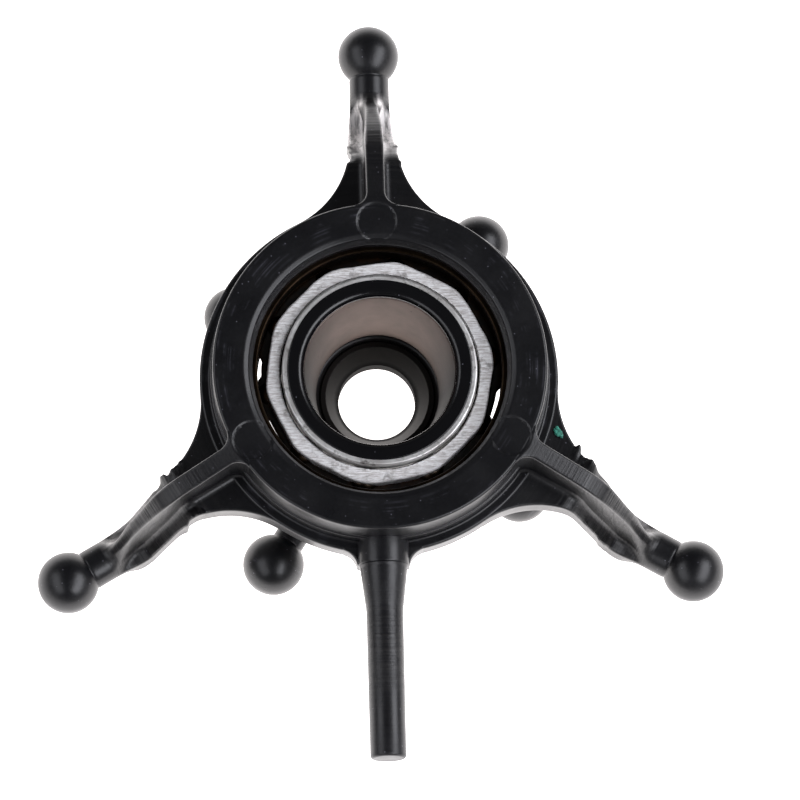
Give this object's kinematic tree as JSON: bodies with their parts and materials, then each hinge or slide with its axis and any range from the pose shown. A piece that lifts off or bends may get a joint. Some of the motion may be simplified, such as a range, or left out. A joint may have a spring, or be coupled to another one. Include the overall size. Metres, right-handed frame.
{
  "type": "helicopter swashplate",
  "caption": "Small moulded swashplate: bent-arm lower plate with ball studs and guide pin, turning on a ball bearing round a rotating plate with a ball joint for the rotor shaft.",
  "frame": {"origin": "centre of the ball joint, on the shaft axis", "axes": "+Z along the shaft axis, out of the lower plate's collar, away from the rotor head; +Y along the arm opposite the guide pin; +X completes a right-handed frame"},
  "size_m": [0.027, 0.0305, 0.0082],
  "materials": {
    "black_nylon": "satin injection-moulded black nylon",
    "ground_race_steel": "ground bearing steel, dulled by oil",
    "polished_race_steel": "polished bearing steel",
    "brushed_cage_steel": "pressed and brushed stainless sheet",
    "bearing_ball_steel": "polished steel balls under an oil film",
    "sintered_metal": "matte grey-brown sintered metal",
    "ring_steel": "turned steel",
    "liner_acetal": "moulded black acetal",
    "dark_ball_steel": "blackened turned steel"
  },
  "bodies": {
    "lower_plate": {"fixed_plate": "black_nylon", "outer_race": "ground_race_steel"},
    "ball_set": {"ball_cage": "brushed_cage_steel", "bearing_ball_01": "bearing_ball_steel", "bearing_ball_02": "bearing_ball_steel", "bearing_ball_03": "bearing_ball_steel", "bearing_ball_04": "bearing_ball_steel", "bearing_ball_05": "bearing_ball_steel", "bearing_ball_06": "bearing_ball_steel", "bearing_ball_07": "bearing_ball_steel", "bearing_ball_08": "bearing_ball_steel", "bearing_ball_09": "bearing_ball_steel", "bearing_ball_10": "bearing_ball_steel"},
    "upper_plate": {"rotating_plate": "black_nylon", "inner_race": "polished_race_steel", "socket_sleeve": "sintered_metal", "retaining_ring": "ring_steel"},
    "liner": {"liner_upper": "liner_acetal", "liner_lower": "liner_acetal"},
    "shaft_ball": {"shaft_ball": "dark_ball_steel"}
  },
  "joints": [
    {"name": "plate_spin", "type": "hinge", "parent": "lower_plate", "child": "upper_plate", "pos_m": [0, 0, 0], "axis": [0, 0, 1], "continuous": true},
    {"name": "ball_set_spin", "type": "hinge", "parent": "lower_plate", "child": "ball_set", "pos_m": [0, 0, 0.00445], "axis": [0, 0, 1], "continuous": true},
    {"name": "tilt_about_x", "type": "hinge", "parent": "upper_plate", "child": "liner", "pos_m": [0, 0, 0], "axis": [1, 0, 0], "range_deg": [-9.5, 9.5]},
    {"name": "tilt_about_y", "type": "hinge", "parent": "liner", "child": "shaft_ball", "pos_m": [0, 0, 0], "axis": [0, 1, 0], "range_deg": [-9.5, 9.5]}
  ],
  "couplings": [
    {"joint": "ball_set_spin", "follows": "plate_spin", "ratio": 0.4298}
  ]
}
